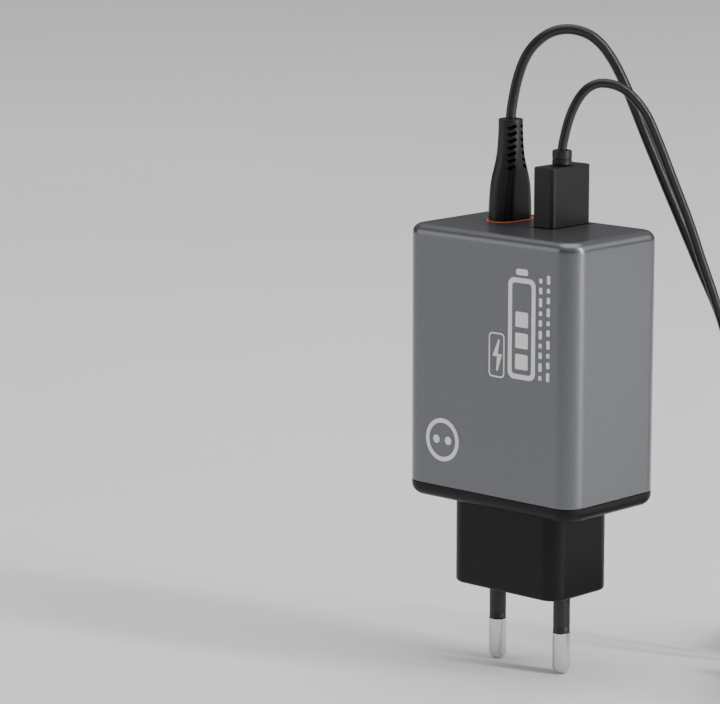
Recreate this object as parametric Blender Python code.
"""Two-port mains charger, plugged in, with its two cables.

Frame: origin at the centre of the plug face, where the two mains pins come out.
+Z points from the pins towards the ports, -Y is the wide printed side.
Metres throughout.
"""
from math import cos, pi, radians, sin, sqrt

import bmesh
import bpy
from mathutils import Matrix, Vector
import numpy as np

MM = 0.001
GAP = 0.3 * MM                      # clearance between neighbouring solids

# ---- housing -------------------------------------------------------------
BODY_WIDTH = 49.2 * MM              # along X
BODY_DEPTH = 31.2 * MM              # along Y
BODY_TOP = 82.0 * MM
CORNER_RADIUS = 4.7 * MM
TOP_FILLET = 2.2 * MM
WALL = 1.6 * MM
SPLIT = 23.0 * MM                   # joint between base cap and housing

# ---- base cap and plug stalk ---------------------------------------------
STALK_WIDTH = 31.5 * MM
STALK_DEPTH = 20.0 * MM
STALK_RADIUS = 4.2 * MM
STALK_EDGE = 0.8 * MM
CAP_BOTTOM = 20.0 * MM
CAP_FILLET = 2.6 * MM
LIP_HEIGHT = 4.0 * MM
LIP_WALL = 1.4 * MM
PLUG_FACE_WALL = 1.8 * MM

# ---- mains pins ----------------------------------------------------------
PIN_LENGTH = 19.0 * MM
PIN_SPACING = 19.0 * MM
PIN_RADIUS = 2.0 * MM
PIN_CORE_RADIUS = 1.4 * MM
PIN_STEM_RADIUS = 1.8 * MM
PIN_STEM_TOP = 16.0 * MM
PIN_FLANGE_RADIUS = 2.6 * MM
PIN_FLANGE_HEIGHT = 1.3 * MM
SLEEVE_RADIUS = 1.9 * MM
SLEEVE_LENGTH = 9.3 * MM           # below the plug face
SLEEVE_ROOT = 1.5 * MM              # how far a sleeve runs into the plug face
CARRIER_HEIGHT = 2.3 * MM

# ---- ports ---------------------------------------------------------------
PORT_Y = 4.8 * MM                   # both ports sit behind the middle
USB_C_X = -10.9 * MM
USB_A_X = 4.2 * MM
PORT_BOARD_TOP = 66.7 * MM
RECEPTACLE_TOP = 80.9 * MM
BEZEL_BOTTOM = BODY_TOP - 0.8 * MM
SHEET_METAL = 0.3 * MM              # wall of every plug and receptacle shell
USB_C_SHELL = (2.4 * MM, 8.25 * MM)
USB_C_REACH = 6.65 * MM
USB_A_SHELL = (4.5 * MM, 12.0 * MM)
USB_A_REACH = 11.75 * MM
SHELL_ROOT = 2.5 * MM               # how far a plug shell runs into its moulding

# ---- plug mouldings ------------------------------------------------------
USB_C_BEZEL_TOP = BODY_TOP + 0.2 * MM
USB_C_BEZEL_BAND = 0.65 * MM
USB_C_BASE = (6.6 * MM, 11.4 * MM)
USB_C_BOOT_HEIGHT = 22.3 * MM
USB_C_NECK_RADIUS = 2.75 * MM
USB_A_BEZEL_TOP = BODY_TOP + 0.1 * MM
USB_A_BEZEL_BAND = 0.7 * MM
USB_A_BLOCK = (6.0 * MM, 13.2 * MM)
USB_A_BLOCK_HEIGHT = 13.2 * MM
USB_A_BLOCK_RADIUS = 1.0 * MM
COLLAR_RADIUS = 2.2 * MM
COLLAR_HEIGHT = 3.1 * MM
FAR_BLOCK = (6.0 * MM, 10.8 * MM)
FAR_BLOCK_HEIGHT = 17.0 * MM

# ---- cords ---------------------------------------------------------------
FLOOR = -PIN_LENGTH
DRAPE_ANGLE = radians(43.3)         # the cords fall away in this direction
USB_C_CORD_RADIUS = 1.15 * MM
USB_A_CORD_RADIUS = 1.05 * MM
COIL_COLUMNS = 3
COIL_LAYERS = 3
TAIL_BEND = 6.0 * MM                # radius of the last bend, into the far plug
TAIL_INSET = 0.6 * MM
CORD_STEP = 2.0                     # diameters between a cord's points
TAIL_STEP = 4.0 * MM
CURVE_SAMPLES = 24                  # points read from a curve between two of its own
TIE_WIDTH = 4.0 * MM
TIE_THICKNESS = 0.5 * MM

# Points of each free stretch: along the drape, sideways, height; in millimetres
# from the port's axis, the height from the plug face.
USB_C_ROUTE = [
    (0.0, 0.0, 105.1), (0.5, 0.0, 109.0), (1.6, 0.0, 114.2), (3.3, 0.0, 118.7),
    (5.6, 0.0, 121.8), (8.9, 0.0, 124.1), (12.8, 0.0, 124.8), (16.9, 0.0, 123.8),
    (19.7, 0.0, 121.8), (22.3, 0.0, 118.5), (25.1, 0.0, 113.3), (30.6, 0.0, 100.1),
    (34.9, 0.0, 89.9), (38.3, 0.0, 82.0), (42.5, 0.0, 72.2), (47.8, 0.0, 60.0),
    (51.6, -1.0, 48.5), (53.9, -2.6, 36.5), (55.2, -4.4, 24.5), (56.1, -6.0, 12.5),
    (57.1, -7.1, 2.0), (59.0, -7.5, -5.6), (62.9, -7.5, -10.0),
]
USB_A_ROUTE = [
    (0.0, 0.0, 99.2), (0.5, 0.0, 102.0), (1.4, 0.0, 105.6), (2.5, 0.0, 108.5),
    (3.8, 0.0, 110.8), (5.4, 0.0, 112.6), (7.6, 0.0, 113.7), (10.1, 0.0, 113.7),
    (12.7, 0.0, 112.9), (15.0, 0.0, 111.3), (18.3, 0.0, 107.3), (21.2, 0.0, 101.1),
    (25.1, 0.0, 91.3), (28.2, 0.0, 83.5), (31.5, 0.0, 73.9), (34.7, 0.0, 64.8),
    (38.3, -0.3, 53.0), (41.2, -0.8, 41.0), (43.0, -1.2, 29.0), (44.0, -1.4, 17.0),
    (44.6, -1.4, 5.5), (45.8, -1.4, -3.0), (48.4, -1.4, -8.8), (52.0, -1.4, -10.9),
]

# ---- the electronics inside ------------------------------------------------
INSIDE_BOTTOM = 27.4 * MM
BOARD_THICKNESS = 1.2 * MM
MAIN_BOARD_Y = -11.6 * MM
SPREADER_TOP = 64.0 * MM
LEAD_RADIUS = 0.7 * MM

NEAR_ZERO = 1e-7


# ---- materials -------------------------------------------------------------
def material(name, colour, roughness, metallic=0.0):
    """One Principled material, made once."""
    found = bpy.data.materials.get(name)
    if found:
        return found
    made = bpy.data.materials.new(name)
    made.use_nodes = True
    shader = made.node_tree.nodes["Principled BSDF"]
    shader.inputs["Base Color"].default_value = (*colour, 1.0)
    shader.inputs["Roughness"].default_value = roughness
    shader.inputs["Metallic"].default_value = metallic
    return made


FINISHES = {
    "housing": ((0.16, 0.165, 0.18), 0.38, 0.7),
    "base_plastic": ((0.025, 0.025, 0.027), 0.5, 0.0),
    "plug_plastic": ((0.035, 0.035, 0.037), 0.5, 0.0),
    "cord": ((0.015, 0.015, 0.016), 0.4, 0.0),
    "orange_plastic": ((0.75, 0.19, 0.03), 0.45, 0.0),
    "black_plastic": ((0.01, 0.01, 0.01), 0.5, 0.0),
    "nickel": ((0.68, 0.66, 0.62), 0.25, 1.0),
    "steel": ((0.6, 0.6, 0.6), 0.3, 1.0),
    "board": ((0.01, 0.06, 0.04), 0.45, 0.0),
    "ferrite": ((0.05, 0.05, 0.055), 0.6, 0.0),
    "winding": ((0.62, 0.35, 0.08), 0.35, 0.6),
    "tape": ((0.7, 0.5, 0.05), 0.4, 0.0),
    "capacitor": ((0.04, 0.05, 0.12), 0.35, 0.0),
    "film_box": ((0.7, 0.6, 0.3), 0.5, 0.0),
    "ceramic": ((0.05, 0.15, 0.4), 0.5, 0.0),
    "chip": ((0.02, 0.02, 0.02), 0.4, 0.0),
    "copper": ((0.75, 0.36, 0.2), 0.3, 1.0),
    "pad": ((0.35, 0.4, 0.5), 0.8, 0.0),
    "film": ((0.5, 0.28, 0.05), 0.3, 0.0),
    "tie": ((0.02, 0.02, 0.02), 0.9, 0.0),
    "lead_brown": ((0.16, 0.06, 0.02), 0.5, 0.0),
    "lead_blue": ((0.02, 0.06, 0.35), 0.5, 0.0),
}


# ---- modelling helpers -----------------------------------------------------
def finish_of(slot):
    colour, roughness, metallic = FINISHES[slot]
    return material(slot, colour, roughness, metallic)


def add_object(name, mesh, slot, parent=None):
    """A named object, smooth on its rounds, with one material."""
    made = bpy.data.objects.new(name, mesh)
    bpy.context.collection.objects.link(made)
    made.parent = parent
    if slot:
        made.data.materials.append(finish_of(slot))
    return made


def add_empty(name, place):
    """The frame of one moving body, on its joint's axis."""
    made = bpy.data.objects.new(name, None)
    bpy.context.collection.objects.link(made)
    made.location = place
    return made


def close_mesh(name, shape):
    """Turn a bmesh into a mesh whose faces point out."""
    bmesh.ops.remove_doubles(shape, verts=shape.verts, dist=NEAR_ZERO)
    bmesh.ops.recalc_face_normals(shape, faces=shape.faces)
    mesh = bpy.data.meshes.new(name)
    shape.to_mesh(mesh)
    shape.free()
    mesh.shade_smooth()
    mesh.set_sharp_from_angle(angle=radians(35))
    return mesh


def arc(centre, radius, start, end, steps):
    """Points along an arc, ends included."""
    points = []
    for step in range(steps + 1):
        angle = start + (end - start) * step / steps
        points.append((centre[0] + radius * cos(angle), centre[1] + radius * sin(angle)))
    return points


def rounded_rectangle(width, depth, radius, steps=5):
    """Outline of a rectangle with round corners, anticlockwise."""
    outline = []
    for corner in range(4):
        turn = corner * pi / 2
        side_x = 1 if corner in (0, 3) else -1
        side_y = 1 if corner in (0, 1) else -1
        centre = (side_x * (width / 2 - radius), side_y * (depth / 2 - radius))
        outline += arc(centre, radius, turn, turn + pi / 2, steps)
    return outline


def obround(size, steps=6):
    """A slot-shaped outline, as long as size[1], with full round ends."""
    return rounded_rectangle(size[0], size[1], size[0] / 2 - NEAR_ZERO * 10, steps)


def level(outline, height):
    return [(x, y, height) for x, y in outline]


def loft(name, rings, slot, parent=None):
    """A closed solid through rings of equal counts, capped at both ends."""
    shape = bmesh.new()
    loops = [[shape.verts.new(point) for point in ring] for ring in rings]
    count = len(loops[0])
    for lower, upper in zip(loops, loops[1:]):
        for here in range(count):
            there = (here + 1) % count
            shape.faces.new((lower[here], lower[there], upper[there], upper[here]))
    shape.faces.new(loops[0])
    shape.faces.new(loops[-1])
    return add_object(name, close_mesh(name, shape), slot, parent)


def prism(name, outline, bottom, top, slot, parent=None):
    return loft(name, [level(outline, bottom), level(outline, top)], slot, parent)


def tube_prism(name, outer, inner, bottom, top, slot, parent=None):
    """An open tube between two outlines of equal counts."""
    shape = bmesh.new()
    rings = [level(outer, bottom), level(outer, top), level(inner, top), level(inner, bottom)]
    loops = [[shape.verts.new(point) for point in ring] for ring in rings]
    count = len(loops[0])
    for first, second in zip(loops, loops[1:] + loops[:1]):
        for here in range(count):
            there = (here + 1) % count
            shape.faces.new((first[here], first[there], second[there], second[here]))
    return add_object(name, close_mesh(name, shape), slot, parent)


def box(name, low, high, slot, parent=None):
    """A block between two opposite corners."""
    low, high = Vector(low), Vector(high)
    shape = bmesh.new()
    middle = Matrix.Translation((low + high) / 2)
    size = Matrix.Diagonal((*(high - low), 1.0))
    bmesh.ops.create_cube(shape, size=1.0, matrix=middle @ size)
    return add_object(name, close_mesh(name, shape), slot, parent)


def turned(name, profile, slot, steps=20, parent=None):
    """Turn a profile of (radius, height) points round the Z axis."""
    shape = bmesh.new()
    verts = [shape.verts.new((radius, 0.0, height)) for radius, height in profile]
    edges = [shape.edges.new(pair) for pair in zip(verts, verts[1:])]
    if profile[0][0] > NEAR_ZERO or profile[-1][0] > NEAR_ZERO:
        edges.append(shape.edges.new((verts[-1], verts[0])))
    bmesh.ops.spin(
        shape, geom=verts + edges, cent=(0, 0, 0), axis=(0, 0, 1),
        angle=2 * pi, steps=steps, use_merge=True)
    return add_object(name, close_mesh(name, shape), slot, parent)


def cylinder(name, centre, radius, length, axis, slot, steps=16, parent=None):
    """A plain round, centred on a point, along X, Y or Z."""
    turn = {"x": Matrix.Rotation(pi / 2, 4, "Y"), "y": Matrix.Rotation(pi / 2, 4, "X")}
    shape = bmesh.new()
    place = Matrix.Translation(centre) @ turn.get(axis, Matrix.Identity(4))
    bmesh.ops.create_cone(
        shape, cap_ends=True, segments=steps, radius1=radius, radius2=radius,
        depth=length, matrix=place)
    return add_object(name, close_mesh(name, shape), slot, parent)


def cut(piece, cutter):
    """Take a cutter away from a piece, and leave the cutter out of the build."""
    cutter.hide_render = True
    cutter.display_type = "WIRE"
    modifier = piece.modifiers.new("cut_" + cutter.name, "BOOLEAN")
    modifier.operation = "DIFFERENCE"
    modifier.object = cutter


def smooth_points(route, spacing):
    """Evenly spaced points on a smooth curve through the route's points."""
    points = np.array(route, dtype=float)
    chords = np.linalg.norm(np.diff(points, axis=0), axis=1)
    knots = np.concatenate([[0.0], np.cumsum(np.sqrt(chords))])
    slopes = np.gradient(points, knots, axis=0)
    dense = []
    for index in range(len(points) - 1):
        width = knots[index + 1] - knots[index]
        for t in np.linspace(0.0, 1.0, CURVE_SAMPLES, endpoint=False):
            start, end = points[index], points[index + 1]
            leave, arrive = slopes[index] * width, slopes[index + 1] * width
            dense.append(
                start * (2 * t**3 - 3 * t**2 + 1) + leave * (t**3 - 2 * t**2 + t)
                + end * (3 * t**2 - 2 * t**3) + arrive * (t**3 - t**2))
    dense = np.array(dense + [points[-1]])
    travelled = np.concatenate([[0.0], np.cumsum(np.linalg.norm(np.diff(dense, axis=0), axis=1))])
    count = max(2, int(round(travelled[-1] / spacing)) + 1)
    marks = np.linspace(0.0, travelled[-1], count)
    return [tuple(np.interp(mark, travelled, dense[:, axis]) for axis in range(3)) for mark in marks]


def cord(name, points, radius, slot, parent=None):
    """A round cord along points, with flat filled ends."""
    curve = bpy.data.curves.new(name, "CURVE")
    curve.dimensions = "3D"
    curve.bevel_depth = radius
    curve.bevel_resolution = 2
    curve.use_fill_caps = True
    spline = curve.splines.new("POLY")
    spline.points.add(len(points) - 1)
    for point, place in zip(spline.points, points):
        point.co = (*place, 1.0)
    return add_object(name, curve, slot, parent)


# ---- housing, cap and pins -------------------------------------------------
def inset_body(inset, height):
    """The body's outline at a height, drawn in by an inset."""
    radius = max(CORNER_RADIUS - inset, 0.5 * MM)
    return level(rounded_rectangle(BODY_WIDTH - 2 * inset, BODY_DEPTH - 2 * inset, radius), height)


def main_housing():
    """The deep metal-finished shell, open below, with two port windows on top."""
    rings = [inset_body(WALL, BODY_TOP - WALL), inset_body(WALL, SPLIT + GAP), inset_body(0.0, SPLIT + GAP)]
    for step in range(5):
        angle = step * pi / 8
        inset = TOP_FILLET * (1 - cos(angle))
        rings.append(inset_body(inset, BODY_TOP - TOP_FILLET + TOP_FILLET * sin(angle)))
    shell = loft("main_housing", rings, "housing")
    low, high = BODY_TOP - 2 * WALL, BODY_TOP + WALL
    windows = (
        ("usb_c_window", obround(grown(usb_c_bezel_size(), GAP)), USB_C_X),
        ("usb_a_window", rounded_rectangle(*grown(usb_a_bezel_size(), GAP), 1.0 * MM, 3), USB_A_X),
    )
    for name, outline, place in windows:
        window = prism(name, outline, low, high, None)
        window.location = (place, PORT_Y, 0.0)
        cut(shell, window)


def base_cap():
    """The black cap that closes the housing, with the plug stalk under it."""
    def stalk(inset, height):
        outline = rounded_rectangle(
            STALK_WIDTH - 2 * inset, STALK_DEPTH - 2 * inset, STALK_RADIUS - inset)
        return level(outline, height)

    lip = WALL + GAP
    cap_floor = CAP_BOTTOM + WALL
    rings = [stalk(STALK_EDGE, 0.0), stalk(STALK_EDGE * 0.3, STALK_EDGE * 0.3)]
    rings += [stalk(0.0, STALK_EDGE), stalk(0.0, CAP_BOTTOM)]
    for step in range(5):
        angle = step * pi / 8
        rings.append(inset_body(CAP_FILLET * (1 - sin(angle)), CAP_BOTTOM + CAP_FILLET * (1 - cos(angle))))
    rings += [inset_body(0.0, SPLIT), inset_body(lip, SPLIT), inset_body(lip, SPLIT + LIP_HEIGHT)]
    rings += [inset_body(lip + LIP_WALL, SPLIT + LIP_HEIGHT), inset_body(lip + LIP_WALL, cap_floor)]
    rings += [stalk(WALL, cap_floor), stalk(WALL, PLUG_FACE_WALL)]
    cap = loft("base_cap", rings, "base_plastic")
    for side, place in pin_places():
        drill = cylinder(
            "pin_drill_" + side, (place, 0.0, PLUG_FACE_WALL / 2), SLEEVE_RADIUS + GAP,
            3 * PLUG_FACE_WALL, "z", None)
        cut(cap, drill)


def pin_places():
    return (("left", -PIN_SPACING / 2), ("right", PIN_SPACING / 2))


def mains_pin(side, place):
    """A turned pin: round tip, thin core under the sleeve, flange and stem inside."""
    flange_bottom = PLUG_FACE_WALL + GAP
    flange_top = flange_bottom + PIN_FLANGE_HEIGHT
    shoulder = -SLEEVE_LENGTH - GAP
    profile = [(0.0, -PIN_LENGTH)]
    profile += [
        (PIN_RADIUS * 0.6, -PIN_LENGTH + 0.15 * PIN_RADIUS),
        (PIN_RADIUS * 0.92, -PIN_LENGTH + 0.5 * PIN_RADIUS),
        (PIN_RADIUS, -PIN_LENGTH + 0.9 * PIN_RADIUS),
        (PIN_RADIUS, shoulder), (PIN_CORE_RADIUS, shoulder), (PIN_CORE_RADIUS, flange_bottom),
        (PIN_FLANGE_RADIUS, flange_bottom), (PIN_FLANGE_RADIUS, flange_top),
        (PIN_STEM_RADIUS, flange_top), (PIN_STEM_RADIUS, PIN_STEM_TOP), (0.0, PIN_STEM_TOP),
    ]
    pin = turned("mains_pin_" + side, profile, "nickel")
    pin.location.x = place
    bore = SLEEVE_RADIUS - 0.2 * MM
    profile = [
        (bore, -SLEEVE_LENGTH), (SLEEVE_RADIUS, -SLEEVE_LENGTH), (SLEEVE_RADIUS, SLEEVE_ROOT),
        (bore, SLEEVE_ROOT)]
    sleeve = turned("pin_sleeve_" + side, profile, "base_plastic")
    sleeve.location.x = place


def pin_carrier():
    """The moulded bridge that clamps both pin flanges inside the stalk."""
    clear = WALL + GAP
    outline = rounded_rectangle(
        STALK_WIDTH - 2 * clear, STALK_DEPTH - 2 * clear, STALK_RADIUS - clear)
    bottom = PLUG_FACE_WALL + PIN_FLANGE_HEIGHT + 2 * GAP
    carrier = prism("pin_carrier", outline, bottom, bottom + CARRIER_HEIGHT, "film_box")
    for side, place in pin_places():
        drill = cylinder(
            "carrier_drill_" + side, (place, 0.0, bottom), PIN_STEM_RADIUS + GAP,
            4 * CARRIER_HEIGHT, "z", None)
        cut(carrier, drill)


# ---- ports -----------------------------------------------------------------
def grown(size, amount):
    return tuple(side + 2 * amount for side in size)


def usb_c_bezel_size():
    return grown(USB_C_BASE, USB_C_BEZEL_BAND)


def usb_a_bezel_size():
    return grown(USB_A_BLOCK, USB_A_BEZEL_BAND)


def usb_c_port():
    """Orange port ring, receptacle shell and contact tongue."""
    mouth = grown(USB_C_SHELL, GAP)
    ring = tube_prism(
        "usb_c_bezel", obround(usb_c_bezel_size()), obround(mouth), BEZEL_BOTTOM,
        USB_C_BEZEL_TOP, "orange_plastic")
    shell = tube_prism(
        "usb_c_receptacle_shell", obround(grown(mouth, SHEET_METAL)), obround(mouth),
        PORT_BOARD_TOP + GAP, RECEPTACLE_TOP, "steel")
    root_top = USB_C_BEZEL_TOP + GAP - USB_C_REACH - 2 * GAP
    tongue = (0.7 * MM, 6.7 * MM)
    base = obround(USB_C_SHELL)
    blade = rounded_rectangle(*tongue, 0.3 * MM, 6)
    rings = [level(base, PORT_BOARD_TOP + GAP), level(base, root_top), level(blade, root_top)]
    rings.append(level(blade, RECEPTACLE_TOP - GAP))
    core = loft("usb_c_receptacle_tongue", rings, "black_plastic")
    for piece in (ring, shell, core):
        piece.location = (USB_C_X, PORT_Y, 0.0)


def usb_a_port():
    """Black port frame, receptacle shell and contact tongue."""
    mouth = grown(USB_A_SHELL, GAP)
    corner = 0.4 * MM
    frame = tube_prism(
        "usb_a_bezel", rounded_rectangle(*usb_a_bezel_size(), 0.8 * MM, 3),
        rounded_rectangle(*mouth, corner, 3), BEZEL_BOTTOM, USB_A_BEZEL_TOP, "black_plastic")
    shell = tube_prism(
        "usb_a_receptacle_shell", rounded_rectangle(*grown(mouth, SHEET_METAL), corner + SHEET_METAL, 3),
        rounded_rectangle(*mouth, corner, 3), PORT_BOARD_TOP + GAP, RECEPTACLE_TOP, "steel")
    base = rounded_rectangle(*USB_A_SHELL, corner, 3)
    root_top = USB_A_BEZEL_TOP + GAP - USB_A_REACH - 2 * GAP
    thickness, width = 1.5 * MM, 10.8 * MM
    shift = GAP / 2 + thickness / 2
    blade = [(x + shift, y) for x, y in rounded_rectangle(thickness, width, corner, 3)]
    rings = [level(base, PORT_BOARD_TOP + GAP), level(base, root_top), level(blade, root_top)]
    rings.append(level(blade, RECEPTACLE_TOP - 2 * MM))
    core = loft("usb_a_receptacle_tongue", rings, "orange_plastic")
    for piece in (frame, shell, core):
        piece.location = (USB_A_X, PORT_Y, 0.0)


# ---- plugs -----------------------------------------------------------------
def plug_shell(name, outline_of, size, reach, base, parent):
    """A plug's metal shell: its reach below the moulding and a root inside it."""
    outer = outline_of(size)
    inner = outline_of(grown(size, -SHEET_METAL))
    return tube_prism(name, outer, inner, base - reach, base + SHELL_ROOT, "steel", parent)


def moulding(name, rings, pocket_outline, base, slot, parent):
    """A plug moulding with a blind pocket in its bottom face for the shell's root."""
    pocket_top = base + SHELL_ROOT + GAP
    hollow = [level(pocket_outline, pocket_top), level(pocket_outline, base)]
    return loft(name, hollow + rings, slot, parent)


def boot_rings(base):
    """The boot's sections: a flat obround foot that draws in to a round neck."""
    stations = (
        (0.0, 0.0), (0.12, 0.03), (0.3, 0.14), (0.42, 0.33), (0.52, 0.58),
        (0.64, 0.82), (0.78, 0.94), (0.9, 0.99), (1.0, 1.0))
    neck = 2 * USB_C_NECK_RADIUS
    rings = []
    for along, blend in stations:
        width = USB_C_BASE[0] + (neck - USB_C_BASE[0]) * blend
        length = USB_C_BASE[1] + (neck + 20 * NEAR_ZERO - USB_C_BASE[1]) * blend
        rings.append(level(obround((width, length)), base + along * USB_C_BOOT_HEIGHT))
    return rings


def usb_c_plug_shell_outline(size):
    return obround(size)


def usb_a_plug_shell_outline(size):
    return rounded_rectangle(*size, 0.3 * MM, 6)


def usb_c_plug(boot_name, shell_name, base, parent):
    """A slim plug: flexible boot and obround metal shell, pointing down."""
    pocket = obround(grown(USB_C_SHELL, GAP))
    boot = moulding(boot_name, boot_rings(base), pocket, base, "plug_plastic", parent)
    shell = plug_shell(shell_name, usb_c_plug_shell_outline, USB_C_SHELL, USB_C_REACH, base, parent)
    return boot, shell


def block_rings(size, base, height):
    outline = rounded_rectangle(*size, USB_A_BLOCK_RADIUS, 6)
    top = rounded_rectangle(*grown(size, -0.4 * MM), USB_A_BLOCK_RADIUS - 0.3 * MM, 6)
    return [level(outline, base), level(outline, base + height - 0.4 * MM), level(top, base + height)]


def collar(name, base, parent):
    return cylinder(
        name, (0, 0, base + COLLAR_HEIGHT / 2), COLLAR_RADIUS, COLLAR_HEIGHT, "z",
        "plug_plastic", 24, parent)


def usb_a_plug(parent):
    """The wide plug: block, collar, flat metal shell and contact block."""
    base = USB_A_BEZEL_TOP + GAP - BODY_TOP
    pocket = rounded_rectangle(*grown(USB_A_SHELL, GAP), 0.5 * MM, 6)
    rings = block_rings(USB_A_BLOCK, base, USB_A_BLOCK_HEIGHT)
    moulding("usb_a_plug_body", rings, pocket, base, "plug_plastic", parent)
    collar("usb_a_plug_collar", base + USB_A_BLOCK_HEIGHT + GAP, parent)
    plug_shell("usb_a_plug_shell", usb_a_plug_shell_outline, USB_A_SHELL, USB_A_REACH, base, parent)
    thickness = USB_A_SHELL[0] / 2 - SHEET_METAL - GAP - GAP / 2
    middle = -GAP / 2 - thickness / 2
    half_width = USB_A_SHELL[1] / 2 - SHEET_METAL - GAP
    box(
        "usb_a_plug_insulator", (middle - thickness / 2, -half_width, base - USB_A_REACH + 2 * GAP),
        (middle + thickness / 2, half_width, base + SHELL_ROOT - GAP), "black_plastic", parent)


# ---- cords -----------------------------------------------------------------
def drape_place(along, sideways, height):
    """A point from its distances along and across the drape direction."""
    x = along * cos(DRAPE_ANGLE) - sideways * sin(DRAPE_ANGLE)
    y = along * sin(DRAPE_ANGLE) + sideways * cos(DRAPE_ANGLE)
    return Vector((x, y, height))


class Cable:
    """The sizes of one cable's free cord and of its coil."""

    def __init__(self, name, port_x, route, radius, middle_radius, side, distance, tail_start, tail_sweep):
        self.name = name
        self.port = Vector((port_x, PORT_Y, 0.0))
        self.radius = radius
        self.pitch = 2 * radius + 0.05 * MM
        self.middle_radius = middle_radius
        self.side = side
        self.tail_start = tail_start
        self.tail_sweep = tail_sweep
        self.coil_top = FLOOR + COIL_LAYERS * self.pitch
        last_sideways = route[-1][1] * MM - self.port.x * sin(DRAPE_ANGLE) + self.port.y * cos(DRAPE_ANGLE)
        reach = middle_radius + (COIL_COLUMNS - 1) / 2 * self.pitch
        self.centre = drape_place(distance, last_sideways + side * reach, 0.0)
        self.route = [self.port + drape_place(*(value * MM for value in point)) for point in route]

    def coil_point(self, along, across, height):
        """A point from its distances from the coil's middle."""
        return self.centre + drape_place(along, self.side * across, height)

    def free_cord(self, parent):
        points = smooth_points([tuple(point) for point in self.route], CORD_STEP * 2 * self.radius)
        local = [tuple(Vector(point) - parent.location) for point in points]
        cord(self.name + "_cord", local, self.radius, "cord", parent)

    def coil(self):
        half = COIL_COLUMNS / 2 * self.pitch
        inner, outer = self.middle_radius - half, self.middle_radius + half
        bevel = self.radius / 2
        low, high = FLOOR, self.coil_top
        profile = [
            (inner, low + bevel), (inner + bevel, low), (outer - bevel, low), (outer, low + bevel),
            (outer, high - bevel), (outer - bevel, high), (inner + bevel, high), (inner, high - bevel)]
        ring = turned(self.name + "_coil", profile, "cord", steps=36)
        ring.location = self.centre

    def tie(self, angle):
        """A flat strap over all the turns, standing on the floor on both sides of them."""
        half = COIL_COLUMNS / 2 * self.pitch
        inner, outer = self.middle_radius - half, self.middle_radius + half
        left, right = sqrt(inner**2 - (TIE_WIDTH / 2) ** 2) - GAP, outer + GAP
        high = self.coil_top + GAP
        outline = [
            (left - TIE_THICKNESS, FLOOR), (left, FLOOR), (left, high), (right, high), (right, FLOOR),
            (right + TIE_THICKNESS, FLOOR), (right + TIE_THICKNESS, high + TIE_THICKNESS),
            (left - TIE_THICKNESS, high + TIE_THICKNESS)]
        strap = prism(self.name + "_coil_tie", outline, -TIE_WIDTH / 2, TIE_WIDTH / 2, "tie")
        upright = Matrix.Rotation(pi / 2, 4, "X")
        turn = Matrix.Rotation(DRAPE_ANGLE + self.side * angle, 4, "Z")
        strap.matrix_world = Matrix.Translation(self.centre) @ turn @ upright

    def tail_points(self, plug_axis_height):
        """The last bend, from the top of the turns into the far plug."""
        rest = self.coil_top + GAP + self.radius
        start_radius = self.middle_radius - (COIL_COLUMNS - 1) / 2 * self.pitch + TAIL_INSET
        start_angle = self.tail_start
        heading = start_angle + pi / 2
        end_heading = heading + self.tail_sweep
        pivot = Vector((
            start_radius * cos(start_angle) - TAIL_BEND * sin(heading),
            start_radius * sin(start_angle) + TAIL_BEND * cos(heading)))
        places = []
        steps = 6
        for step in range(steps + 1):
            share = step / steps
            angle = heading + (end_heading - heading) * share - pi / 2
            lift = share * share * (3 - 2 * share)
            places.append(self.coil_point(
                pivot.x + TAIL_BEND * cos(angle), pivot.y + TAIL_BEND * sin(angle),
                rest + (plug_axis_height - rest) * lift))
        direction = drape_place(cos(end_heading), self.side * sin(end_heading), 0.0)
        return places, direction

    def far_end(self, half_thickness):
        """The tail cord, and the frame of the plug that lies on the coil."""
        axis_height = self.coil_top + GAP + half_thickness
        places, direction = self.tail_points(axis_height)
        lead_in = 2.0 * MM
        places.append(places[-1] + direction * lead_in)
        points = smooth_points([tuple(place) for place in places], TAIL_STEP)
        cord(self.name + "_tail", points, self.radius, "cord")
        start = places[-1] + direction * GAP
        tip_way = direction.normalized()
        flat_way = Vector((0.0, 0.0, 1.0))
        wide_way = (-tip_way).cross(flat_way)
        frame = Matrix((flat_way, wide_way, -tip_way)).transposed().to_4x4()
        return Matrix.Translation(start) @ frame


def put_far(pieces, frame, top):
    """Lay pieces modelled along -Z so that their top end meets the cord."""
    for piece in pieces:
        piece.matrix_world = frame @ Matrix.Translation((0.0, 0.0, -top))


def usb_c_cable(plug_frame):
    cable = Cable(
        "usb_c", USB_C_X, USB_C_ROUTE, USB_C_CORD_RADIUS, 11.5 * MM, 1, 61.5 * MM, radians(140),
        radians(110))
    cable.free_cord(plug_frame)
    cable.coil()
    cable.tie(radians(200))
    frame = cable.far_end(USB_C_BASE[0] / 2)
    pieces = usb_c_plug("usb_c_far_boot", "usb_c_far_shell", 0.0, None)
    put_far(pieces, frame, USB_C_BOOT_HEIGHT)


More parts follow.
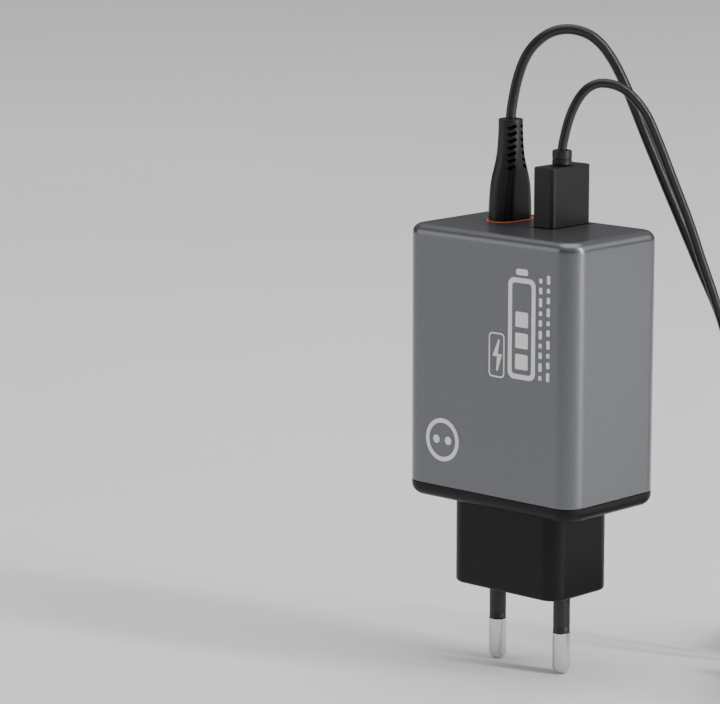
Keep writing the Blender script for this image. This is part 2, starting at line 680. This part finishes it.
def usb_a_cable(plug_frame):
    cable = Cable(
        "usb_a", USB_A_X, USB_A_ROUTE, USB_A_CORD_RADIUS, 10.5 * MM, -1, 58.5 * MM, radians(-50),
        radians(90))
    cable.free_cord(plug_frame)
    cable.coil()
    cable.tie(radians(200))
    frame = cable.far_end(FAR_BLOCK[0] / 2)
    pocket = obround(grown(USB_C_SHELL, GAP))
    block = moulding(
        "usb_a_far_body", block_rings(FAR_BLOCK, 0.0, FAR_BLOCK_HEIGHT), pocket, 0.0, "plug_plastic", None)
    ring = collar("usb_a_far_collar", FAR_BLOCK_HEIGHT + GAP, None)
    shell = plug_shell(
        "usb_a_far_shell", usb_c_plug_shell_outline, USB_C_SHELL, USB_C_REACH, 0.0, None)
    put_far((block, ring, shell), frame, FAR_BLOCK_HEIGHT + GAP + COLLAR_HEIGHT)


# ---- electronics -------------------------------------------------------------
def boards():
    """The upright main board and the level board that carries the ports."""
    low = (-21.0 * MM, MAIN_BOARD_Y, INSIDE_BOTTOM)
    box("main_board", low, (21.0 * MM, MAIN_BOARD_Y + BOARD_THICKNESS, 79.5 * MM), "board")
    low = (-19.0 * MM, MAIN_BOARD_Y + BOARD_THICKNESS + GAP, PORT_BOARD_TOP - BOARD_THICKNESS)
    box("port_board", low, (21.5 * MM, 13.4 * MM, PORT_BOARD_TOP), "board")


def heat_spreader():
    """A folded copper sheet that follows the housing's inner wall on three sides."""
    half = BODY_WIDTH / 2 - WALL - GAP
    back = -BODY_DEPTH / 2 + WALL + GAP
    radius = CORNER_RADIUS - WALL - GAP
    thickness = 0.5 * MM
    ends = 9.0 * MM

    def side(distance, rim):
        right = arc((half - radius, back + radius), radius - distance, 0.0, -pi / 2, 4)
        points = [(half - distance, rim)] + right
        return points + [(-x, y) for x, y in reversed(points)]

    outline = side(0.0, ends) + list(reversed(side(thickness, ends)))
    prism("heat_spreader", outline, INSIDE_BOTTOM, SPREADER_TOP, "copper")
    low = (1.0 * MM, MAIN_BOARD_Y - GAP - 1.0 * MM, 28.0 * MM)
    box("thermal_pad", low, (20.0 * MM, MAIN_BOARD_Y - GAP, 46.0 * MM), "pad")
    sheet = BODY_DEPTH / 2 - WALL - 2 * GAP
    low = (-19.0 * MM, sheet - 0.35 * MM, INSIDE_BOTTOM)
    box("insulation_sheet", low, (19.0 * MM, sheet, 62.0 * MM), "film")


def transformer():
    """Two E cores that meet round a bobbin and its winding."""
    left, right = -20.0 * MM, -2.0 * MM
    bottom, top = 42.5 * MM, 62.5 * MM
    centre_y = 1.2 * MM
    leg, spine, half_leg = 3.0 * MM, 3.5 * MM, 2.5 * MM
    half_depth = 5.5 * MM
    wall = 0.7 * MM
    middle_x, middle_z = (left + right) / 2, (bottom + top) / 2
    half_height = (top - bottom) / 2
    meet = (right - left) / 2 - GAP / 2

    # One E: its back outside, its three legs reaching the middle.
    outline = [
        (0.0, -half_height), (meet, -half_height), (meet, -half_height + leg),
        (spine, -half_height + leg), (spine, -half_leg), (meet, -half_leg), (meet, half_leg),
        (spine, half_leg), (spine, half_height - leg), (meet, half_height - leg),
        (meet, half_height), (0.0, half_height)]
    for name, edge, way in (("left", left, 1), ("right", right, -1)):
        core = prism("transformer_core_" + name, outline, -half_depth, half_depth, "ferrite")
        upright = Matrix.Rotation(pi / 2, 4, "X")
        turn = Matrix.Identity(4) if way == 1 else Matrix.Rotation(pi, 4, "Z")
        core.matrix_world = Matrix.Translation((edge, centre_y, middle_z)) @ turn @ upright

    # Bobbin and winding are turned to lie along X round the middle legs.
    length = right - left - 2 * spine - 2 * GAP
    bore = (2 * (half_depth + GAP), 2 * (half_leg + GAP))
    tube = grown(bore, wall)
    flange = grown(bore, 3.6 * MM)
    corner = 0.3 * MM

    def section(size, along):
        return level(rounded_rectangle(*size, corner, 2), along)

    half = length / 2
    flange_edge = half - wall
    rings = [
        section(bore, -half), section(flange, -half), section(flange, -flange_edge),
        section(tube, -flange_edge), section(tube, flange_edge), section(flange, flange_edge),
        section(flange, half), section(bore, half)]
    shape = bmesh.new()
    loops = [[shape.verts.new(point) for point in ring] for ring in rings]
    for first, second in zip(loops, loops[1:] + loops[:1]):
        for here, there in zip(range(len(first)), list(range(1, len(first))) + [0]):
            shape.faces.new((first[here], first[there], second[there], second[here]))
    bobbin = add_object("transformer_bobbin", close_mesh("transformer_bobbin", shape), "film_box")
    outer = rounded_rectangle(*grown(tube, 2.7 * MM), 1.2 * MM, 2)
    inner = rounded_rectangle(*grown(tube, GAP), corner, 2)
    winding = tube_prism(
        "transformer_winding", outer, inner, -flange_edge + GAP, flange_edge - GAP, "tape")
    along_x = Matrix(((0, 0, 1), (1, 0, 0), (0, 1, 0))).to_4x4()
    for piece in (bobbin, winding):
        piece.matrix_world = Matrix.Translation((middle_x, centre_y, middle_z)) @ along_x


def choke():
    """A toroid core with a winding sleeve on each half."""
    centre = Vector((-13.0 * MM, 2.0 * MM, 34.6 * MM))
    middle, half_wide, half_tall = 4.6 * MM, 1.5 * MM, 2.2 * MM
    profile = [
        (middle - half_wide, -half_tall), (middle + half_wide, -half_tall),
        (middle + half_wide, half_tall), (middle - half_wide, half_tall)]
    upright = Matrix.Rotation(pi / 2, 4, "X")
    core = turned("choke_core", profile, "ferrite", steps=20)
    core.matrix_world = Matrix.Translation(centre) @ upright
    wrap = 0.8 * MM
    for name, start in (("left", radians(115)), ("right", radians(-65))):
        shape = bmesh.new()
        stations = []
        steps = 9
        for step in range(steps + 1):
            angle = start + radians(130) * step / steps
            rims = []
            for reach in (GAP + wrap, GAP):
                corners = rounded_rectangle(
                    2 * (half_wide + reach), 2 * (half_tall + reach), 0.25 * MM, 1)
                rims.append([
                    shape.verts.new(((middle + x) * cos(angle), (middle + x) * sin(angle), y))
                    for x, y in corners])
            stations.append(rims)
        count = len(stations[0][0])
        for here in range(count):
            there = (here + 1) % count
            for rim in (0, 1):
                for first, second in zip(stations, stations[1:]):
                    shape.faces.new((
                        first[rim][here], first[rim][there], second[rim][there], second[rim][here]))
            for end in (stations[0], stations[-1]):
                shape.faces.new((end[0][here], end[0][there], end[1][there], end[1][here]))
        label = "choke_winding_" + name
        sleeve = add_object(label, close_mesh(label, shape), "winding")
        sleeve.matrix_world = Matrix.Translation(centre) @ upright


def can(name, place, radius, bottom, top, slot):
    """A capacitor can with a rolled groove near its foot."""
    groove = bottom + 0.14 * (top - bottom)
    notch = 0.25 * MM
    profile = [
        (0.0, bottom), (radius - notch, bottom), (radius, bottom + notch), (radius, groove - notch),
        (radius - notch, groove), (radius, groove + notch), (radius, top - notch),
        (radius - notch, top), (0.0, top)]
    piece = turned(name, profile, slot, steps=18)
    piece.location = (*place, 0.0)


def components():
    """Everything soldered to the two boards."""
    can("bulk_capacitor_left", (6.0 * MM, 4.0 * MM), 5.0 * MM, 28.0 * MM, 48.0 * MM, "capacitor")
    can("bulk_capacitor_right", (16.8 * MM, 4.0 * MM), 5.0 * MM, 28.0 * MM, 48.0 * MM, "capacitor")
    can("output_capacitor_left", (12.8 * MM, 9.3 * MM), 3.1 * MM, 67.0 * MM, 76.0 * MM, "capacitor")
    can("output_capacitor_right", (12.8 * MM, 2.2 * MM), 3.1 * MM, 67.0 * MM, 76.0 * MM, "capacitor")
    box("x_capacitor", (2.0 * MM, -7.5 * MM, 50.5 * MM), (15.0 * MM, -1.5 * MM, 62.0 * MM), "film_box")
    cylinder(
        "y_capacitor", (9.0 * MM, 5.0 * MM, 56.5 * MM), 4.0 * MM, 2.8 * MM, "x", "ceramic", 20)
    cylinder("fuse", (-3.2 * MM, -5.5 * MM, 34.0 * MM), 1.8 * MM, 10.0 * MM, "z", "film_box", 16)
    face = MAIN_BOARD_Y + BOARD_THICKNESS + GAP
    chips = (
        ("bridge_rectifier", -20.0, 29.0, -13.0, 37.0, 1.6),
        ("primary_switch_chip", 2.0, 31.0, 10.0, 39.0, 0.9),
        ("sync_rectifier_chip", 13.0, 34.0, 18.0, 40.0, 1.0),
        ("controller_chip", 17.0, 52.0, 21.0, 56.0, 0.8))
    for name, left, bottom, right, top, height in chips:
        box(
            name, (left * MM, face, bottom * MM), (right * MM, face + height * MM, top * MM), "chip")
    box(
        "output_inductor", (-7.2 * MM, 1.0 * MM, PORT_BOARD_TOP + GAP),
        (-0.6 * MM, 8.0 * MM, PORT_BOARD_TOP + GAP + 4.5 * MM), "ferrite")


def leads():
    """Insulated leads from each pin's stem to the main board."""
    start = PIN_STEM_TOP + GAP
    end = MAIN_BOARD_Y + BOARD_THICKNESS + GAP
    for name, x, end_x, slot in (("live", 9.5, 6.0, "lead_brown"), ("neutral", -9.5, -8.0, "lead_blue")):
        route = [
            (x * MM, 0.0, start), (x * MM, 0.0, start + 3 * MM),
            ((0.7 * x + 0.3 * end_x) * MM, -2.2 * MM, start + 8 * MM),
            (end_x * MM, -6.0 * MM, start + 11.5 * MM), (end_x * MM, end, start + 12.5 * MM)]
        cord(name + "_lead", smooth_points(route, 2 * MM), LEAD_RADIUS, slot)


def main():
    for old in list(bpy.data.objects):
        bpy.data.objects.remove(old, do_unlink=True)
    main_housing()
    base_cap()
    pin_carrier()
    for side, place in pin_places():
        mains_pin(side, place)
    usb_c_port()
    usb_a_port()
    boards()
    heat_spreader()
    transformer()
    choke()
    components()
    leads()
    # Each plug's frame stands on its port's axis, level with the charger's top.
    usb_c_frame = add_empty("usb_c_plug_frame", (USB_C_X, PORT_Y, BODY_TOP))
    usb_a_frame = add_empty("usb_a_plug_frame", (USB_A_X, PORT_Y, BODY_TOP))
    bpy.context.view_layer.update()
    usb_c_plug("usb_c_plug_boot", "usb_c_plug_shell", USB_C_BEZEL_TOP + GAP - BODY_TOP, usb_c_frame)
    usb_a_plug(usb_a_frame)
    usb_c_cable(usb_c_frame)
    usb_a_cable(usb_a_frame)


main()
